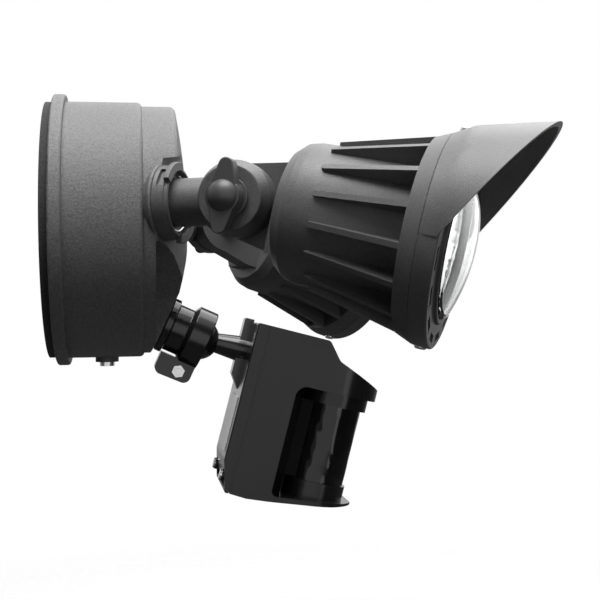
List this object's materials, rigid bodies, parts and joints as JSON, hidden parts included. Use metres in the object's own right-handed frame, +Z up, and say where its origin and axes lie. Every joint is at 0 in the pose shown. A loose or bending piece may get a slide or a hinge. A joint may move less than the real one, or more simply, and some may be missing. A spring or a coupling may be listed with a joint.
{
  "type": "motion sensor security light",
  "caption": "Outdoor security light: round wall canopy with finned, hooded lamps on swivelling arms and a motion sensor hung below on a ball joint.",
  "frame": {"origin": "centre of the wall face, on the back of the foam gasket", "axes": "+X points out of the wall, +Z up; the left lamp is at -Y and the right lamp at +Y"},
  "size_m": [0.2322, 0.3256, 0.2175],
  "materials": {
    "canopy_coat": "textured dark powder coat",
    "stainless": "satin",
    "green_screw": "green coated",
    "driver_case": "potted box",
    "arm_coat": "textured dark powder coat",
    "black_rubber": "matte",
    "bezel_coat": "textured dark powder coat",
    "zinc_steel": "zinc plated",
    "washer_nylon": "smooth",
    "lamp_coat": "textured dark powder coat",
    "led_board": "white board with a pale phosphor patch",
    "lens_glass": "clear",
    "reflector_bright": "bright",
    "knob_plastic": "satin",
    "sensor_plastic": "semi-gloss black",
    "dial_plastic": "pale grey",
    "detector_can": "metal can",
    "pir_film": "smooth black film",
    "sensor_arm_plastic": "semi-gloss black",
    "circuit_board": "solder mask",
    "blank_label": "blank satin plate"
  },
  "bodies": {
    "canopy": {"canopy": "canopy_coat", "wall_gasket": "black_rubber", "mounting_plate": "zinc_steel", "ground_screw": "green_screw", "lock_screw": "stainless", "led_driver": "driver_case", "driver_screws": "stainless", "left_swivel_collar": "arm_coat", "right_swivel_collar": "arm_coat", "sensor_nut": "sensor_arm_plastic", "sensor_seal": "black_rubber"},
    "sensor_arm": {"sensor_socket": "sensor_arm_plastic", "sensor_jam_nut": "zinc_steel", "clamp_screw": "stainless", "clamp_nut": "stainless"},
    "sensor_ball": {"sensor_ball": "sensor_arm_plastic"},
    "sensor_head": {"sensor_stem": "sensor_arm_plastic", "sensor_back": "sensor_plastic", "sensor_label": "blank_label", "sensor_shell": "sensor_plastic", "shell_screws": "stainless", "lens_ring_top": "sensor_plastic", "lens_ring_bottom": "sensor_plastic", "pir_lens": "pir_film", "sensor_board": "circuit_board", "pir_detector": "detector_can"},
    "time_dial": {"time_dial": "dial_plastic"},
    "light_dial": {"light_dial": "dial_plastic"},
    "range_dial": {"range_dial": "dial_plastic"},
    "left_arm": {"left_arm": "arm_coat", "left_arm_seal": "black_rubber", "left_jam_nut": "zinc_steel"},
    "left_lamp": {"left_lamp_housing": "lamp_coat", "left_led_board": "led_board", "left_reflector": "reflector_bright", "left_lens_gasket": "black_rubber", "left_lens": "lens_glass", "left_bezel": "bezel_coat", "left_bezel_screws": "stainless", "left_knuckle_washer": "washer_nylon", "left_knuckle_bolt": "stainless"},
    "left_knob": {"left_wing_knob": "knob_plastic"},
    "right_arm": {"right_arm": "arm_coat", "right_arm_seal": "black_rubber", "right_jam_nut": "zinc_steel"},
    "right_lamp": {"right_lamp_housing": "lamp_coat", "right_led_board": "led_board", "right_reflector": "reflector_bright", "right_lens_gasket": "black_rubber", "right_lens": "lens_glass", "right_bezel": "bezel_coat", "right_bezel_screws": "stainless", "right_knuckle_washer": "washer_nylon", "right_knuckle_bolt": "stainless"},
    "right_knob": {"right_wing_knob": "knob_plastic"}
  },
  "joints": [
    {"name": "left_arm_swivel", "type": "hinge", "parent": "canopy", "child": "left_arm", "pos_m": [0.0586, -0.0542, 0.0093], "axis": [0.9078, -0.4195, 0], "range_deg": [-30, 30]},
    {"name": "left_lamp_tilt", "type": "hinge", "parent": "left_arm", "child": "left_lamp", "pos_m": [0.09291, -0.07006, 0.0093], "axis": [0.4195, 0.9078, 0], "range_deg": [-45, 18]},
    {"name": "left_knob_turn", "type": "hinge", "parent": "left_lamp", "child": "left_knob", "pos_m": [0.08486, -0.08748, 0.0093], "axis": [-0.4195, -0.9078, 0], "continuous": true},
    {"name": "right_arm_swivel", "type": "hinge", "parent": "canopy", "child": "right_arm", "pos_m": [0.0586, 0.0542, 0.0093], "axis": [0.9078, 0.4195, 0], "range_deg": [-30, 30]},
    {"name": "right_lamp_tilt", "type": "hinge", "parent": "right_arm", "child": "right_lamp", "pos_m": [0.09291, 0.07006, 0.0093], "axis": [-0.4195, 0.9078, 0], "range_deg": [-46.7, 16.3]},
    {"name": "right_knob_turn", "type": "hinge", "parent": "right_lamp", "child": "right_knob", "pos_m": [0.08486, 0.08748, 0.0093], "axis": [-0.4195, 0.9078, 0], "continuous": true},
    {"name": "sensor_swivel", "type": "hinge", "parent": "canopy", "child": "sensor_arm", "pos_m": [0.0583, 0, -0.0489], "axis": [0.9063, 0, -0.4226], "range_deg": [-45, 45]},
    {"name": "sensor_pan", "type": "hinge", "parent": "sensor_arm", "child": "sensor_ball", "pos_m": [0.0767, 0, -0.05748], "axis": [0.2588, 0, 0.9659], "range_deg": [-15, 15]},
    {"name": "sensor_tilt", "type": "hinge", "parent": "sensor_ball", "child": "sensor_head", "pos_m": [0.0767, 0, -0.05748], "axis": [0, 1, 0], "range_deg": [-18, 10]},
    {"name": "time_dial_turn", "type": "hinge", "parent": "sensor_head", "child": "time_dial", "pos_m": [0.0997, -0.013, -0.13777], "axis": [-0.2588, 0, -0.9659], "range_deg": [-135, 135]},
    {"name": "light_dial_turn", "type": "hinge", "parent": "sensor_head", "child": "light_dial", "pos_m": [0.0997, 0, -0.13777], "axis": [-0.2588, 0, -0.9659], "range_deg": [-135, 135]},
    {"name": "range_dial_turn", "type": "hinge", "parent": "sensor_head", "child": "range_dial", "pos_m": [0.0997, 0.013, -0.13777], "axis": [-0.2588, 0, -0.9659], "range_deg": [-135, 135]}
  ]
}
